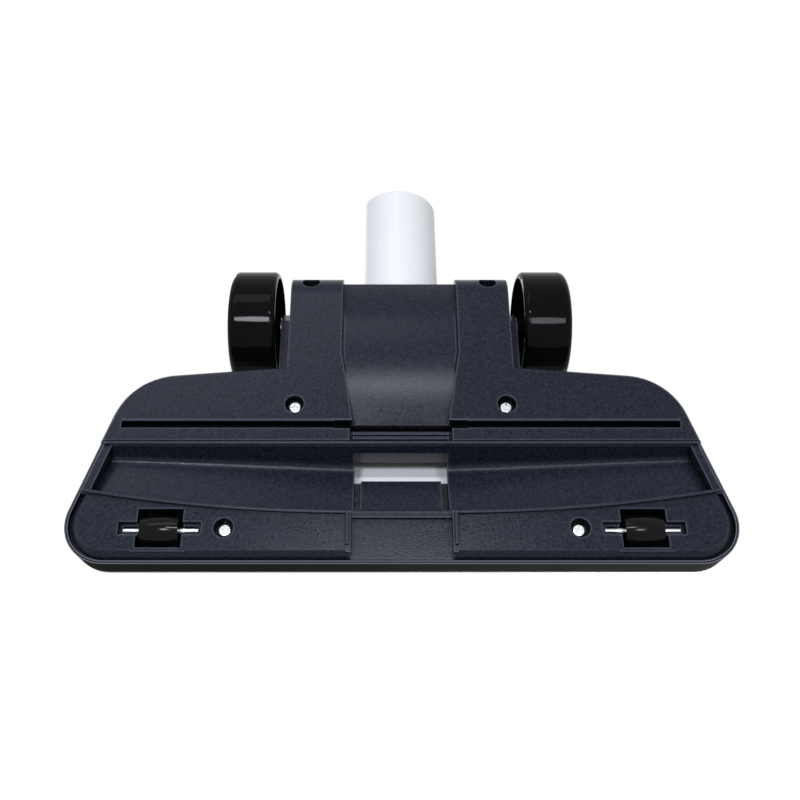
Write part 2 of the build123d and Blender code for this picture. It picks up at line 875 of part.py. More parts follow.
with BuildPart() as slot_walls:
    extrude(spine_profile(), amount=duct_half_rear + cheek_wall, both=True)
    with Locations((0, aft(pivot_aft - hood_radius - sheet), 0)):
        Box(
            4 * tail_half,
            4 * tail_end_aft,
            4 * far_up,
            align=(Align.CENTER, Align.MAX, Align.CENTER),
            mode=Mode.SUBTRACT,
        )
    Box(2 * duct_half_rear, 4 * tail_end_aft, 4 * far_up, mode=Mode.SUBTRACT)
    with Locations((0, aft(tail_front_aft), ceiling)):
        Box(
            4 * tail_half,
            2 * tail_end_aft,
            4 * far_up,
            align=(Align.CENTER, Align.MAX, Align.MAX),
            mode=Mode.SUBTRACT,
        )
with BuildPart() as hood_block:
    extrude(spine_profile(), amount=duct_half_rear + cheek_wall / 2, both=True)
    extrude(
        side_profile(
            at(pocket_rear_aft + sheet / 2, pivot_height),
            at(pivot_aft, pivot_height),
            at(pivot_aft, far_up),
            at(pocket_rear_aft + sheet / 2, far_up),
        ),
        amount=tail_half,
        both=True,
        mode=Mode.INTERSECT,
    )
with BuildPart() as pedal_pocket:
    extrude(spine_profile(), amount=pocket_half + sheet, both=True)
    extrude(
        side_profile(
            at(pocket_front_aft - sheet, ceiling),
            at(pocket_rear_aft + sheet, ceiling),
            at(pocket_rear_aft + sheet, far_up),
            at(pocket_front_aft - sheet, far_up),
        ),
        amount=tail_half,
        both=True,
        mode=Mode.INTERSECT,
    )
with BuildPart() as duct_roof:
    extrude(spine_profile(), amount=ceiling_half, both=True)
    extrude(
        side_profile(
            at(duct_front_aft - cheek_wall, ceiling),
            at(pivot_aft - hood_radius, ceiling),
            at(pivot_aft - hood_radius, pivot_height),
            at(pivot_aft - hood_radius - sheet, pivot_height),
            at(pivot_aft - hood_radius - sheet, ceiling + ceiling_thickness),
            at(duct_front_aft - cheek_wall + sheet, ceiling + ceiling_thickness),
            at(duct_front_aft - cheek_wall + sheet, far_up),
            at(duct_front_aft - cheek_wall, far_up),
        ),
        amount=tail_half,
        both=True,
        mode=Mode.INTERSECT,
    )
with BuildPart() as cover_bosses:
    with BuildSketch(Plane.XY.offset(wing_split)):
        with Locations(*wing_screws):
            Circle(cover_boss_radius)
    extrude(amount=far_up)
    with BuildSketch(Plane.XY.offset(pivot_height)):
        with Locations(*tail_screws):
            Circle(cover_boss_radius)
    extrude(amount=far_up)
    add(cover_form.part, mode=Mode.INTERSECT)

# Upper moulding: wing, raised middle with its pedal pocket, hood and cheeks
with BuildPart() as top_cover:
    add(cover_form.part)
    add(cover_room.part, mode=Mode.SUBTRACT)
    add(cover_bosses.part)
    add(slot_walls.part)
    add(pedal_pocket.part)
    add(duct_roof.part)
    add(hood_block.part)
    # slot for the neck, from the hood's edge over the top to the rear
    extrude(
        side_profile(
            at(pivot_aft, pivot_height),
            at(pivot_aft - far_up, pivot_height - far_up * tan(radians(hood_angle))),
            at(tail_end_aft + far_up, far_up * 3),
            at(tail_end_aft + far_up, 0),
            at(pivot_aft, 0),
        ),
        amount=duct_half_rear,
        both=True,
        mode=Mode.SUBTRACT,
    )
    with BuildSketch(Plane.YZ):
        with Locations(at(pivot_aft, pivot_height)):
            Circle(hood_radius)
    extrude(amount=duct_half_rear, both=True, mode=Mode.SUBTRACT)
    # pedal pocket, with windows for the bar's posts and holes for the pin
    with BuildSketch(Plane.XY.offset(ceiling + ceiling_thickness)):
        with Locations((0, aft((pocket_front_aft + pocket_rear_aft) / 2))):
            RectangleRounded(
                2 * pocket_half, pocket_rear_aft - pocket_front_aft, pedal_corner_radius + pedal_gap
            )
    extrude(amount=far_up, mode=Mode.SUBTRACT)
    with Locations(*[(s * post_middle, aft(slot_aft), ceiling) for s in sides.values()]):
        Box(
            post_outer_half - post_inner_half + 2 * bar_side_gap,
            bar_thickness + 2 * bar_side_gap,
            4 * ceiling_thickness,
            mode=Mode.SUBTRACT,
        )
    with BuildSketch(Plane.YZ):
        with Locations(at(pedal_pivot_aft, pedal_pivot_height)):
            Circle(pin_radius)
    extrude(amount=pocket_half + sheet, both=True, mode=Mode.SUBTRACT)
    # bearings of the neck, and the screws' pilot holes
    with BuildSketch(Plane.YZ.offset(-trunnion_half - 1)):
        with Locations(at(pivot_aft, pivot_height)):
            Circle(trunnion_radius + running_fit)
    extrude(amount=2 * (trunnion_half + 1), mode=Mode.SUBTRACT)
    with BuildSketch(Plane.XY):
        with Locations(*wing_screws):
            Circle(screw_radius)
    extrude(amount=screw_seat + screw_length, mode=Mode.SUBTRACT)
    with BuildSketch(Plane.XY):
        with Locations(*tail_screws):
            Circle(screw_radius)
    extrude(amount=tail_screw_seat + screw_length, mode=Mode.SUBTRACT)
finish(top_cover.part, "top_cover")

# Foam frame between the duct's walls and the cover
with BuildPart() as duct_gasket:
    extrude(duct_plan(duct_rim, cheek_wall), amount=gasket_thickness)
    extrude(duct_plan(duct_rim), amount=gasket_thickness, mode=Mode.SUBTRACT)
    with Locations((0, aft(pivot_aft - hood_radius), duct_rim)):
        Box(
            4 * tail_half,
            2 * tail_end_aft,
            4 * gasket_thickness,
            align=(Align.CENTER, Align.MIN, Align.CENTER),
            mode=Mode.SUBTRACT,
        )
finish(duct_gasket.part, "duct_gasket")

# Felt strips that close the duct against the drum, one under the hood and one on the hump
with BuildSketch(Plane.YZ) as lower_seal_section:
    with Locations(at(seal_aft, sole + drum_radius / 2)):
        Rectangle(seal_width, drum_radius)
    with Locations(at(pivot_aft, pivot_height)):
        Circle(drum_radius + seal_clearance, mode=Mode.SUBTRACT)
    with Locations(at(seal_aft, 2 * pivot_height)):
        Rectangle(2 * seal_width, 3 * drum_radius, mode=Mode.SUBTRACT)
with BuildPart() as drum_seal_lower:
    extrude(lower_seal_section.sketch, amount=duct_half_rear, both=True)
    extrude(hump_profile(sheet, -1.0), amount=tail_half, both=True, mode=Mode.SUBTRACT)
finish(drum_seal_lower.part, "drum_seal_lower")
with BuildSketch(Plane.YZ) as upper_seal_section:
    with Locations(at(pivot_aft, pivot_height)):
        Circle(hood_radius)
        Circle(drum_radius + seal_clearance, mode=Mode.SUBTRACT)
    with BuildLine():
        Polyline(
            at(pivot_aft, pivot_height),
            at(pivot_aft - far_up, pivot_height - far_up * tan(radians(seal_start))),
            at(pivot_aft - far_up, pivot_height - far_up * tan(radians(seal_end))),
            close=True,
        )
    make_face(mode=Mode.INTERSECT)
with BuildPart() as drum_seal_upper:
    extrude(upper_seal_section.sketch, amount=duct_half_rear, both=True)
finish(drum_seal_upper.part, "drum_seal_upper")

# Neck: a hollow drum on two trunnions, open to the duct in front, with the wand's tube behind
tube_plane = Plane(origin=(0, aft(pivot_aft), pivot_height), x_dir=(1, 0, 0), z_dir=(0, 1, 0))
mouth_plane = Plane(origin=(0, aft(neck_end_aft), pivot_height), x_dir=(1, 0, 0), z_dir=(0, 1, 0))
with BuildPart() as neck:
    with BuildSketch(Plane.YZ):
        with Locations(at(pivot_aft, pivot_height)):
            Circle(drum_radius)
    extrude(amount=drum_half, both=True)
    with BuildSketch(tube_plane):
        Circle(neck_root_radius)
    with BuildSketch(mouth_plane):
        Circle(neck_end_radius)
    loft()
    with BuildSketch(Plane.YZ):
        with Locations(at(pivot_aft, pivot_height)):
            Circle(drum_radius - drum_shell)
    extrude(amount=drum_half - drum_shell, both=True, mode=Mode.SUBTRACT)
    with BuildSketch(tube_plane):
        Circle(neck_bore_radius)
    extrude(amount=neck_end_aft - pivot_aft, mode=Mode.SUBTRACT)
    with BuildSketch(mouth_plane):
        Circle(socket_radius)
    extrude(amount=-socket_depth, mode=Mode.SUBTRACT)
    with Locations((0, aft(drum_opening_aft), pivot_height)):
        Box(
            2 * (drum_half - drum_shell),
            drum_radius,
            2 * drum_radius,
            align=(Align.CENTER, Align.MAX, Align.CENTER),
            mode=Mode.SUBTRACT,
        )
    for side in sides.values():
        with BuildSketch(Plane.YZ.offset(side * (drum_half - drum_shell / 2))):
            with Locations(at(pivot_aft, pivot_height)):
                Circle(trunnion_radius)
        extrude(amount=side * (trunnion_half - drum_half + drum_shell / 2))
    mouth_rim = neck.faces().sort_by(Axis.Y)[-1].edges()
    fillet(mouth_rim.sort_by(SortBy.LENGTH)[-1], neck_lip_radius)
finish(neck.part, "neck")

# Rear wheels: turned shells, hollow on the inside, each pressed on an axle that turns in the cheek
for name, side in sides.items():
    with BuildPart() as wheel:
        with BuildSketch(axis_plane(wheel_aft, wheel_height)) as wheel_section:
            with BuildLine():
                Polyline(
                    (side * hub_depth, 0),
                    (side * hub_depth, axle_radius),
                    (side * hub_inner_half, axle_radius),
                    (side * hub_inner_half, hub_radius),
                    (side * web_half, hub_radius + wheel_draft),
                    (side * web_half, wheel_inner_radius - wheel_root),
                    (side * (web_half - wheel_root), wheel_inner_radius - wheel_draft),
                    (side * wheel_inner_half, wheel_inner_radius),
                    (side * wheel_inner_half, wheel_radius),
                    (side * wheel_outer_half, wheel_radius),
                    (side * wheel_outer_half, 0),
                    close=True,
                )
            make_face()
            shoulder = (side * wheel_outer_half, wheel_radius)
            fillet(wheel_section.vertices().sort_by_distance(shoulder)[0], wheel_shoulder)
            inner_edge = (side * wheel_inner_half, wheel_radius)
            fillet(wheel_section.vertices().sort_by_distance(inner_edge)[0], wheel_inner_round)
        revolve(axis=turned_axis(wheel_aft, wheel_height))
    finish(wheel.part, f"wheel_{name}")
    with BuildPart() as wheel_axle:
        with BuildSketch(Plane.YZ.offset(side * axle_inner_half)):
            with Locations(at(wheel_aft, wheel_height)):
                Circle(axle_radius)
        extrude(amount=side * (hub_depth - axle_inner_half))
        with BuildSketch(Plane.YZ.offset(side * clip_half)):
            with Locations(at(wheel_aft, wheel_height)):
                Circle(2 * axle_radius)
                Circle(clip_groove * axle_radius, mode=Mode.SUBTRACT)
        extrude(amount=side * clip_thickness, mode=Mode.SUBTRACT)
    finish(wheel_axle.part, f"wheel_axle_{name}")
    with BuildPart() as axle_clip:
        with BuildSketch(Plane.YZ.offset(side * clip_half)):
            with Locations(at(wheel_aft, wheel_height)):
                Circle(2 * axle_radius)
                Circle(clip_groove * axle_radius, mode=Mode.SUBTRACT)
            with Locations(at(wheel_aft, wheel_height - 1.5 * axle_radius)):
                Rectangle(1.5 * axle_radius, 2 * axle_radius, mode=Mode.SUBTRACT)
        extrude(amount=side * clip_thickness)
    finish(axle_clip.part, f"axle_clip_{name}")

# Rollers: barrels that turn on pins snapped into the sole
for name, side in sides.items():
    middle = side * roller_half
    with BuildPart() as roller:
        with BuildSketch(axis_plane(roller_aft, roller_height)):
            with BuildLine():
                crown = ThreePointArc(
                    (middle - roller_length / 2, roller_end_radius),
                    (middle, roller_radius),
                    (middle + roller_length / 2, roller_end_radius),
                )
                Polyline(
                    crown @ 1,
                    (middle + roller_length / 2, pin_radius + running_fit),
                    (middle - roller_length / 2, pin_radius + running_fit),
                    crown @ 0,
                )
            make_face()
        revolve(axis=turned_axis(roller_aft, roller_height))
    finish(roller.part, f"roller_{name}")
    with BuildPart() as roller_pin:
        with BuildSketch(Plane.YZ.offset(middle - pin_length / 2)):
            with Locations(at(roller_aft, roller_height)):
                Circle(pin_radius)
        extrude(amount=pin_length)
    finish(roller_pin.part, f"roller_pin_{name}")

# Brush bar with its two posts and spring lugs
with BuildPart() as brush_bar:
    with Locations((0, aft(slot_aft), bar_low)):
        Box(2 * bar_half, bar_thickness, bar_high - bar_low, align=(Align.CENTER, Align.CENTER, Align.MIN))
        Box(
            2 * bar_half,
            bristle_thickness,
            bristle_root,
            align=(Align.CENTER, Align.CENTER, Align.MIN),
            mode=Mode.SUBTRACT,
        )
    with Locations(*[(s * post_middle, aft(slot_aft), bar_low + bristle_root) for s in sides.values()]):
        Box(
            post_outer_half - post_inner_half,
            bar_thickness,
            post_top - bar_low - bristle_root,
            align=(Align.CENTER, Align.CENTER, Align.MIN),
        )
    with Locations(*[(s * spring_half, aft(slot_aft), lug_height) for s in sides.values()]):
        Box(
            2 * (spring_radius + lug_margin),
            lug_length,
            lug_thickness,
            align=(Align.CENTER, Align.MIN, Align.MIN),
        )
finish(brush_bar.part, "brush_bar")

# Bristles as one strip, drawn in behind the sole
with BuildPart() as bristle_strip:
    with Locations((0, aft(slot_aft), bristle_tip)):
        Box(
            2 * (bar_half - bristle_inset),
            bristle_thickness,
            bar_low + bristle_root - bristle_tip,
            align=(Align.CENTER, Align.CENTER, Align.MIN),
        )
finish(bristle_strip.part, "bristle_strip")

# Pedal: a curved plate flush with the cover, a barrel on the pin and two pads over the posts
pedal_skin = [at(distance, height + pedal_proud) for distance, height in spine_curve]
pedal_back = [(y, z - pedal_thickness) for y, z in pedal_skin]
with BuildPart() as pedal:
    with BuildSketch(Plane.YZ):
        with BuildLine():
            upper = Spline(*pedal_skin, tangents=spine_ends)
            lower = Spline(*pedal_back, tangents=spine_ends)
            Line(upper @ 0, lower @ 0)
            Line(upper @ 1, lower @ 1)
        make_face()
    extrude(amount=pedal_half, both=True)
    extrude(
        side_profile(
            at(pedal_front_aft, ceiling),
            at(pedal_rear_aft, ceiling),
            at(pedal_rear_aft, far_up),
            at(pedal_front_aft, far_up),
        ),
        amount=pedal_half,
        both=True,
        mode=Mode.INTERSECT,
    )
    fillet(pedal.edges().filter_by(Axis.Z), pedal_corner_radius)
    with BuildSketch(Plane.YZ):
        with Locations(at(pedal_pivot_aft, pedal_pivot_height)):
            Circle(2 * pin_radius)
        with Locations(at(pedal_pivot_aft, pedal_pivot_height + 2 * pin_radius)):
            Rectangle(4 * pin_radius, 3 * pin_radius)
    extrude(amount=barrel_half, both=True)
    for side in sides.values():
        with BuildSketch(Plane.YZ.offset(side * post_inner_half)):
            with Locations(at(slot_aft, pedal_pad_height)):
                Circle(pedal_pad_radius)
            with Locations(at(slot_aft, pedal_pad_height + pedal_pad_radius)):
                Rectangle(2 * pedal_pad_radius, 2 * pedal_pad_radius)
        extrude(amount=side * (post_outer_half - post_inner_half))
    with BuildSketch(Plane.YZ):
        with Locations(at(pedal_pivot_aft, pedal_pivot_height)):
            Circle(pin_radius + running_fit)
    extrude(amount=pedal_half, both=True, mode=Mode.SUBTRACT)
finish(pedal.part, "pedal")

with BuildPart() as pedal_pin:
    with BuildSketch(Plane.YZ):
        with Locations(at(pedal_pivot_aft, pedal_pivot_height)):
            Circle(pin_radius)
    extrude(amount=pocket_half + sheet, both=True)
finish(pedal_pin.part, "pedal_pin")

# Return springs between the sole and the bar's lugs
for name, side in sides.items():
    with BuildPart() as return_spring:
        with BuildLine():
            coil = Helix(
                pitch=spring_height / spring_turns,
                height=spring_height,
                radius=spring_radius,
                center=(side * spring_half, aft(spring_aft), spring_base),
            )
        with BuildSketch(Plane(origin=coil @ 0, z_dir=coil % 0)):
            Circle(spring_wire)
        sweep()
    finish(return_spring.part, f"return_spring_{name}")

# Cross-head screws, heads deep in the sole
for name, (x, distance) in screw_places.items():
    seat = tail_screw_seat if "tail" in name else screw_seat
    with BuildPart() as screw:
        with BuildSketch(Plane.XY.offset(seat - screw_head_height)):
            with Locations((x, aft(distance))):
                Circle(screw_head_radius)
        extrude(amount=screw_head_height)
        fillet(screw.edges().group_by(Axis.Z)[0], screw_head_round)
        with BuildSketch(Plane.XY.offset(seat)):
            with Locations((x, aft(distance))):
                Circle(screw_radius)
        extrude(amount=screw_length)
        with Locations((x, aft(distance), seat - screw_head_height)):
            Box(cross_length, cross_width, 2 * cross_depth, mode=Mode.SUBTRACT)
            Box(cross_width, cross_length, 2 * cross_depth, mode=Mode.SUBTRACT)
    finish(screw.part, f"screw_{name}")
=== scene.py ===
"""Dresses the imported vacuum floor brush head.

It gives every piece its finish, makes the bristles, the return springs and the pedal's ribs,
and sets the studio and the photo's camera.
"""

import json
import logging
import math
from dataclasses import dataclass
from enum import Enum

import bpy
import numpy as np
from mathutils import Matrix, Vector
from mathutils.bvhtree import BVHTree

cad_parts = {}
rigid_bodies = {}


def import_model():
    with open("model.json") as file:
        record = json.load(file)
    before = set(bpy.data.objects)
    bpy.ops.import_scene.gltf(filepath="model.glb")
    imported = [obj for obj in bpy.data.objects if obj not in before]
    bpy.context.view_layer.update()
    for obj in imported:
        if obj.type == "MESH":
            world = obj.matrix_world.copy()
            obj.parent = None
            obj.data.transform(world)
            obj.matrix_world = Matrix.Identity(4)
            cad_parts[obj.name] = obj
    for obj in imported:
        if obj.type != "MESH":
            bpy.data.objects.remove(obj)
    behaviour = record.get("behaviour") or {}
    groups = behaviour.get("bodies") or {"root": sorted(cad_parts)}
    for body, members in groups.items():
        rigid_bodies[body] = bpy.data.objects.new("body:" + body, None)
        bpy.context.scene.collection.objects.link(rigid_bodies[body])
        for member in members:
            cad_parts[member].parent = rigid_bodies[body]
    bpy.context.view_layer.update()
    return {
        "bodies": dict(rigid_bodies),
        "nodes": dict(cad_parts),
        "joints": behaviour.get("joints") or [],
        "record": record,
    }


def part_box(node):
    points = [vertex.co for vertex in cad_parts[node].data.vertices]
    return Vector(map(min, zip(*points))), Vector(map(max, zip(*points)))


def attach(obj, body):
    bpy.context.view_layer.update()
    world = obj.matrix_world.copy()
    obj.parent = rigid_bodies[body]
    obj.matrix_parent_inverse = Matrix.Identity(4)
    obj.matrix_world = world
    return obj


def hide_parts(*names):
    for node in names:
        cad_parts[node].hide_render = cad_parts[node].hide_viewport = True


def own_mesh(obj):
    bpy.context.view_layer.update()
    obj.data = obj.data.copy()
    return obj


LOG = logging.getLogger("floor_head")
MM = 0.001
# The sRGB curve: straight up to the knee, a power above it.
SRGB_KNEE = 0.04045
SRGB_FOOT = 12.92
SRGB_OFFSET = 0.055
SRGB_POWER = 2.4
# The slow noise of a finish and its fine one: octaves, and how strongly the finer ones count.
MOTTLE_DETAIL = 4.0
MOTTLE_ROUGHNESS = 0.6
GRAIN_DETAIL = 2.0
GRAIN_ROUGHNESS = 0.5
# The two noises added: up to the first sum a face has its shade, from the second its colour.
SHADE_SUM = 0.7
COLOUR_SUM = 1.3
# Open share of the view around a point, for the painted shade in corners: at the first a corner is
# darkest, at the second clear.
CORNER_OPEN = 0.45
FACE_OPEN = 0.9
# Open share looking inwards, for the painted highlight on outer edges: below the first an outer
# edge begins, at the second it is full.
EDGE_BEGINS = 0.85
EDGE_FULL = 0.45
# Rays that a node sends out to feel the corners and edges nearby.
FEELER_RAYS = 4
# In a Mix of colours, inputs 6 and 7 are the two colours, and this output is the result.
MIXED = 2


def linear(code: str) -> tuple[float, float, float, float]:
    """Turn an sRGB hex colour into linear light.

    Args:
        code: six hex digits with a leading hash.

    Returns:
        Red, green, blue and alpha, linear.
    """
    parts = np.array([int(code[i : i + 2], 16) for i in (1, 3, 5)]) / 255.0
    curve = ((parts + SRGB_OFFSET) / (1.0 + SRGB_OFFSET)) ** SRGB_POWER
    light = np.where(parts <= SRGB_KNEE, parts / SRGB_FOOT, curve)
    return (*light.tolist(), 1.0)


def put(
    tree: bpy.types.NodeTree,
    kind: str,
    settings: dict[str, object] | None = None,
    **links: bpy.types.NodeSocket | float | tuple[float, ...],
) -> bpy.types.Node:
    """Add a node, set its fields and sockets and link its inputs.

    Args:
        tree: node tree that takes the node.
        kind: node type name.
        settings: node fields by name, such as an operation.
        links: socket names with underscores for blanks, or in_N for input number N from 0;
            an output socket is linked, and any other value is set.

    Returns:
        The new node.
    """
    node = tree.nodes.new(kind)
    for key, value in (settings or {}).items():
        setattr(node, key, value)
    for key, value in links.items():
        number = key.removeprefix("in_")
        socket = node.inputs[int(number) if number != key else key.replace("_", " ")]
        if isinstance(value, bpy.types.NodeSocket):
            tree.links.new(value, socket)
        else:
            socket.default_value = value
    return node


def scale_of(size_mm: float) -> float:
    """Texture scale, per metre, whose features are about the given size in millimetres."""
    return 1.0 / (size_mm * MM)


class Surface(Enum):
    """How a finish was made; the value squeezes its pattern along X, Y and Z."""

    MOULDED = (1.0, 1.0, 1.0)
    DRAWN = (0.12, 1.0, 1.0)
    FIBROUS = (1.0, 1.0, 0.2)


@dataclass(frozen=True)
class Finish:
    """One material of the head, from its real make. Sizes are in millimetres."""

    name: str
    surface: Surface
    colour: str
    shade: str
    rough: float
    rough_spread: float
    grain_mm: float
    grain_depth_mm: float
    mottle_mm: float = 18.0
    edge_mm: float = 0.35
    specular: float = 0.5
    metallic: float = 0.0
    sheen: float = 0.0
    corner_shade: float = 0.0
    corner_shade_mm: float = 3.0
    edge_highlight_colour: str = "#000000"
    edge_highlight_share: float = 0.0
    edge_highlight_mm: float = 1.2

    def paint_shade_and_highlight(self, tree: bpy.types.NodeTree, colour: bpy.types.NodeSocket) -> bpy.types.NodeSocket:
        """Paint shade into the inner corners and a highlight onto the outer edges.

        Args:
            tree: node tree of the material.
            colour: colour output of the plain face.

        Returns:
            The colour output with the painted shade and highlight.
        """
        outward = put(
            tree,
            "ShaderNodeAmbientOcclusion",
            {"samples": FEELER_RAYS},
            Distance=self.corner_shade_mm * MM,
        ).outputs["AO"]
        corner_shade_factor = put(
            tree,
            "ShaderNodeMapRange",
            Value=outward,
            From_Min=CORNER_OPEN,
            From_Max=FACE_OPEN,
            To_Min=1.0 - self.corner_shade,
            To_Max=1.0,
        ).outputs[0]
        inward = put(
            tree,
            "ShaderNodeAmbientOcclusion",
            {"samples": FEELER_RAYS, "inside": True},
            Distance=self.edge_highlight_mm * MM,
        ).outputs["AO"]
        edge_highlight_factor = put(
            tree,
            "ShaderNodeMapRange",
            Value=inward,
            From_Min=EDGE_BEGINS,
            From_Max=EDGE_FULL,
            To_Max=self.edge_highlight_share,
        ).outputs[0]
        shaded_tone = put(
            tree,
            "ShaderNodeMix",
            {"data_type": "RGBA", "blend_type": "MULTIPLY"},
            Factor=1.0,
            in_6=colour,
            in_7=corner_shade_factor,
        ).outputs[MIXED]
        return put(
            tree,
            "ShaderNodeMix",
            {"data_type": "RGBA"},
            Factor=edge_highlight_factor,
            in_6=shaded_tone,
            in_7=linear(self.edge_highlight_colour),
        ).outputs[MIXED]

    def build(self) -> bpy.types.Material:
        """Make the node material, or give it again if it is made already.

        A slow noise drifts between the two colours, a fine one gives the grain its relief,
        and both together vary the gloss. Edges are eased by the edge radius.

        Returns:
            The material.
        """
        if self.name in bpy.data.materials:
            return bpy.data.materials[self.name]
        material = bpy.data.materials.new(self.name)
        material.use_nodes = True
        tree = material.node_tree
        tree.nodes.clear()
        place = put(tree, "ShaderNodeTexCoord").outputs["Object"]
        run = put(tree, "ShaderNodeMapping", Vector=place, Scale=self.surface.value).outputs[0]
        mottle = put(
            tree,
            "ShaderNodeTexNoise",
            Vector=run,
            Scale=scale_of(self.mottle_mm),
            Detail=MOTTLE_DETAIL,
            Roughness=MOTTLE_ROUGHNESS,
        ).outputs["Fac"]
        grain = put(
            tree,
            "ShaderNodeTexNoise",
            Vector=run,
            Scale=scale_of(self.grain_mm),
            Detail=GRAIN_DETAIL,
            Roughness=GRAIN_ROUGHNESS,
        ).outputs["Fac"]
        both = put(
            tree, "ShaderNodeMath", {"operation": "ADD"}, in_0=grain, in_1=mottle
        ).outputs[0]
        tint = put(
            tree, "ShaderNodeMapRange", Value=both, From_Min=SHADE_SUM, From_Max=COLOUR_SUM
        ).outputs[0]
        tone = put(
            tree,
            "ShaderNodeMix",
            {"data_type": "RGBA"},
            Factor=tint,
            in_6=linear(self.shade),
            in_7=linear(self.colour),
        ).outputs[MIXED]
        gloss = put(
            tree,
            "ShaderNodeMapRange",
            Value=both,
            From_Min=SHADE_SUM,
            From_Max=COLOUR_SUM,
            To_Min=self.rough - self.rough_spread,
            To_Max=self.rough + self.rough_spread,
        ).outputs[0]
        eased = put(
            tree, "ShaderNodeBevel", {"samples": FEELER_RAYS}, Radius=self.edge_mm * MM
        ).outputs[0]
        relief = put(
            tree,
            "ShaderNodeBump",
            Height=grain,
            Distance=self.grain_depth_mm * MM,
            Strength=1.0,
            Normal=eased,
        ).outputs[0]
        # Painted shade in the inner corners and painted highlights on the outer edges go into the
        # colour.
        if self.corner_shade or self.edge_highlight_share:
            tone = self.paint_shade_and_highlight(tree, tone)
        shader = put(
            tree,
            "ShaderNodeBsdfPrincipled",
            Base_Color=tone,
            Roughness=gloss,
            Metallic=self.metallic,
            Specular_IOR_Level=self.specular,
            Sheen_Weight=self.sheen,
            Normal=relief,
        )
        put(tree, "ShaderNodeOutputMaterial", Surface=shader.outputs[0])
        return material


# Black ABS from a spark-eroded mould: bluish black with a fine dull grain.
# The real grain is near 0.2 mm, drawn coarser so that it shows at 2.5 pixels a millimetre.
SOLE_ABS = Finish(
    name="black_abs_moulded",
    surface=Surface.MOULDED,
    colour="#2b303e",
    shade="#0e1117",
    rough=0.21,
    rough_spread=0.05,
    grain_mm=0.55,
    grain_depth_mm=0.055,
    mottle_mm=1.4,
    edge_mm=0.5,
    specular=0.12,
    # Shade is painted into the inner corners and a highlight onto the outer edges.
    corner_shade=0.92,
    corner_shade_mm=4.0,
    edge_highlight_colour="#7d8496",
    edge_highlight_share=0.42,
    edge_highlight_mm=0.9,
)
# White ABS from a smooth mould: nearly even, satin.
WHITE_ABS = Finish(
    name="white_abs_moulded",
    surface=Surface.MOULDED,
    colour="#f3f4f4",
    shade="#eceded",
    rough=0.32,
    rough_spread=0.04,
    grain_mm=1.2,
    grain_depth_mm=0.004,
    mottle_mm=40.0,
)
# Soft rubber, extruded along the edge: dull black with long streaks; its olive tint is painted warm
# bounce light.
BUMPER_RUBBER = Finish(
    name="black_rubber_painted_warm_tint",
    surface=Surface.DRAWN,
    colour="#1c1f18",
    shade="#050604",
    rough=0.7,
    rough_spread=0.1,
    grain_mm=0.9,
    grain_depth_mm=0.05,
    mottle_mm=2.4,
    specular=0.01,
    # Shade is painted into the inner corners and a highlight onto the outer edges, such as the
    # rim's lines.
    corner_shade=0.8,
    corner_shade_mm=1.0,
    edge_highlight_colour="#7c7f88",
    edge_highlight_share=0.9,
    edge_highlight_mm=0.6,
)
# Black polystyrene from a polished mould: deep gloss.
WHEEL_PS = Finish(
    name="black_polystyrene_polished",
    surface=Surface.MOULDED,
    colour="#0b0b0c",
    shade="#070708",
    rough=0.07,
    rough_spread=0.02,
    grain_mm=1.5,
    grain_depth_mm=0.002,
    specular=0.052,
)
# Black acetal rollers, worn smooth by use: glossy, with faint lines along their axis.
ROLLER_POM = Finish(
    name="black_acetal_moulded",
    surface=Surface.DRAWN,
    colour="#0e0f12",
    shade="#060607",
    rough=0.11,
    rough_spread=0.05,
    grain_mm=0.7,
    grain_depth_mm=0.012,
    mottle_mm=2.0,
    specular=0.12,
)
# Grey ABS of the pedal: satin, with a coarser grip grain.
PEDAL_ABS = Finish(
    name="grey_abs_moulded",
    surface=Surface.MOULDED,
    colour="#6b6f76",
    shade="#5f636a",
    rough=0.48,
    rough_spread=0.06,
    grain_mm=0.9,
    grain_depth_mm=0.03,
)
# Black polypropylene of the bar inside: dull and slightly waxy.
BAR_PP = Finish(
    name="black_polypropylene_moulded",
    surface=Surface.MOULDED,
    colour="#141517",
    shade="#0d0e0f",
    rough=0.5,
    rough_spread=0.06,
    grain_mm=0.8,
    grain_depth_mm=0.02,
    specular=0.15,
)
# Nylon bristles, cut: dull black with fine lines along them.
BRISTLE_NYLON = Finish(
    name="black_nylon_bristle",
    surface=Surface.FIBROUS,
    colour="#0c0c0d",
    shade="#060606",
    rough=0.6,
    rough_spread=0.1,
    grain_mm=0.4,
    grain_depth_mm=0.01,
    edge_mm=0.05,
    specular=0.1,
)
# Cold-drawn steel, zinc plated: bright with lines along the bar.
STEEL = Finish(
    name="zinc_plated_steel_drawn",
    surface=Surface.DRAWN,
    colour="#d6d8d9",
    shade="#a9abad",
    rough=0.26,
    rough_spread=0.08,
    grain_mm=0.35,
    grain_depth_mm=0.006,
    mottle_mm=3.0,
    edge_mm=0.15,
    metallic=1.0,
)
# Closed-cell foam of the gasket: dull black with open pores on its cut faces.
FOAM = Finish(
    name="black_foam_closed_cell",
    surface=Surface.FIBROUS,
    colour="#242427",
    shade="#141416",
    rough=0.9,
    rough_spread=0.05,
    grain_mm=0.8,
    grain_depth_mm=0.2,
    sheen=0.1,
)
# Grey wool felt of the seals: no gloss, a soft uneven nap.
FELT = Finish(
    name="grey_wool_felt",
    surface=Surface.FIBROUS,
    colour="#4a4a4e",
    shade="#2e2e31",
    rough=0.95,
    rough_spread=0.04,
    grain_mm=0.5,
    grain_depth_mm=0.2,
    sheen=0.4,
)


